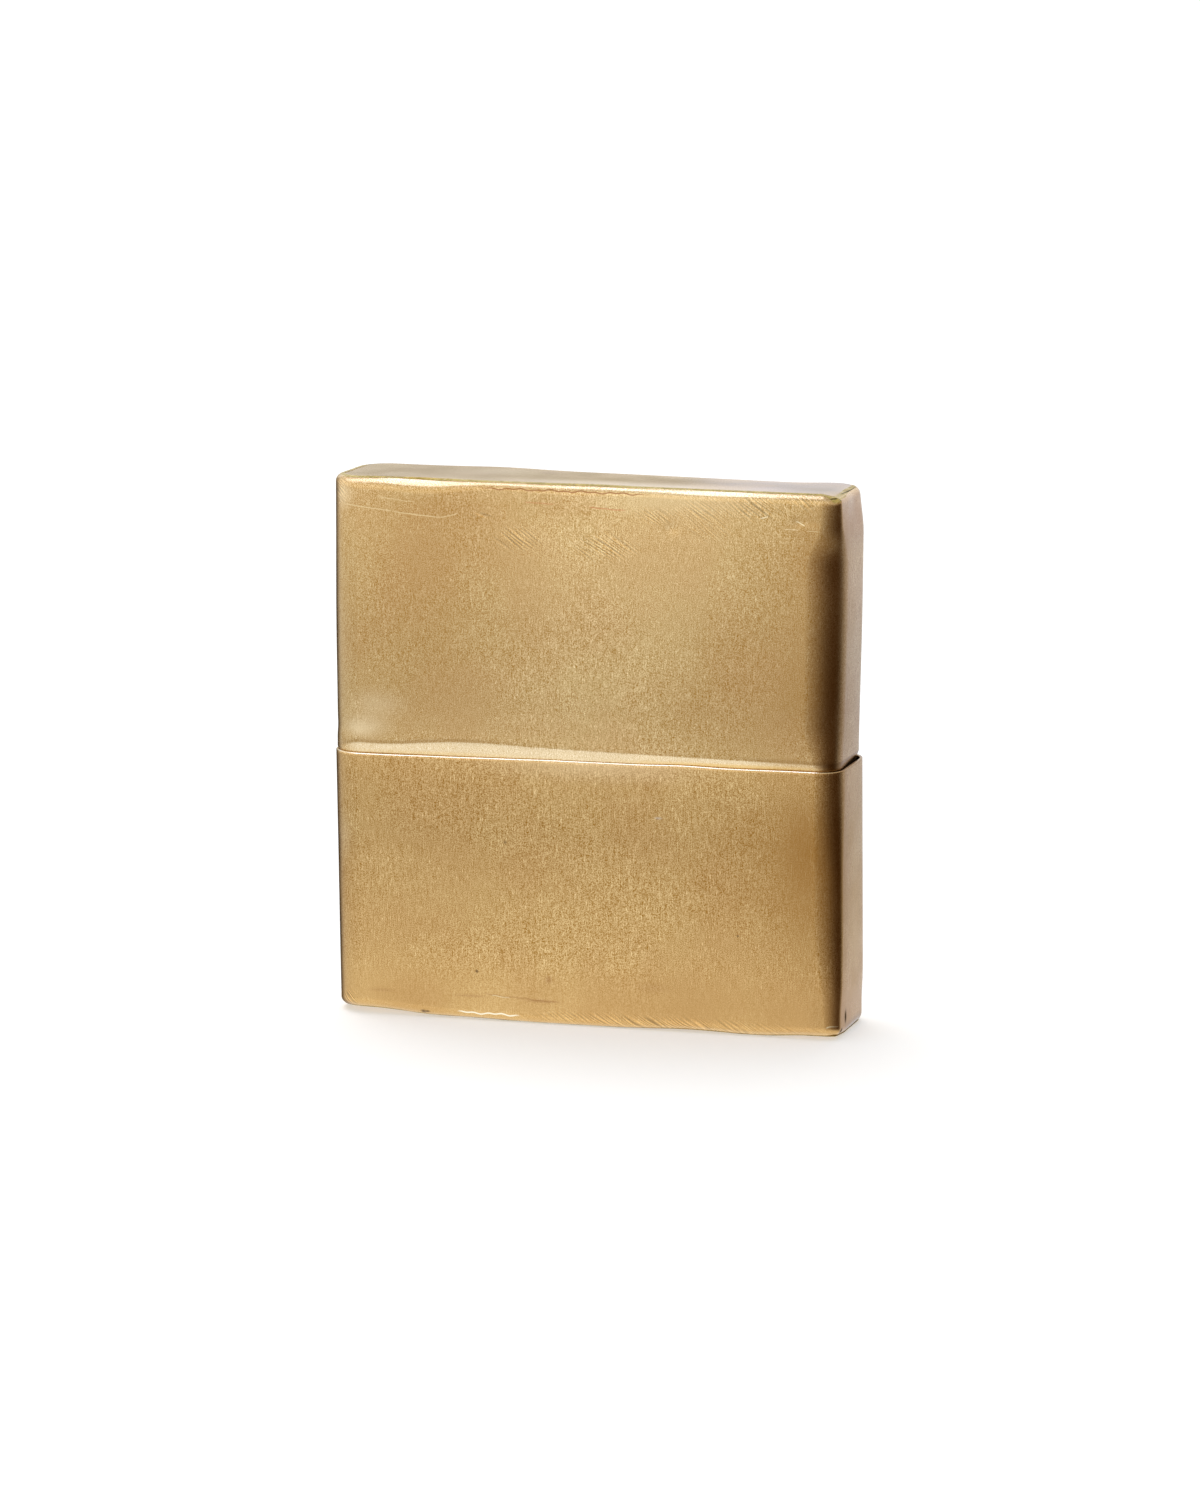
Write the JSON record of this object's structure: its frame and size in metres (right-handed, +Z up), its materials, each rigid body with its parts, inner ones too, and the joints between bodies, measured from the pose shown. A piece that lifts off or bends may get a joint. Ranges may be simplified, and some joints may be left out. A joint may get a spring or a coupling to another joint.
{
  "type": "two-part slip case",
  "caption": "Flat pocket case in sheet brass with rounded edges, in an upper and a lower half; the necked mouth of the upper half slides into the lower half and pulls straight out.",
  "frame": {"origin": "centre of the lower end plate's outer face, on the surface that the case stands on", "axes": "+Z up, from the lower end plate to the upper end plate and along the slide; X along the broad faces; the face seen in the picture looks along -Y and the lengthwise seam is on the -X side"},
  "size_m": [0.0854, 0.0202, 0.0873],
  "materials": {
    "brushed_brass": "brushed, worn satin",
    "solder": "filed, dull"
  },
  "bodies": {
    "lower_half": {"lower_wall": "brushed_brass", "lower_seam_solder": "solder", "lower_end_plate": "brushed_brass", "lower_end_solder": "solder"},
    "upper_half": {"upper_wall": "brushed_brass", "upper_seam_solder": "solder", "upper_end_plate": "brushed_brass", "upper_end_solder": "solder"}
  },
  "joints": [
    {"name": "lift", "type": "slide", "parent": "lower_half", "child": "upper_half", "axis": [0, 0, 1], "range_m": [0, 0.06]}
  ]
}
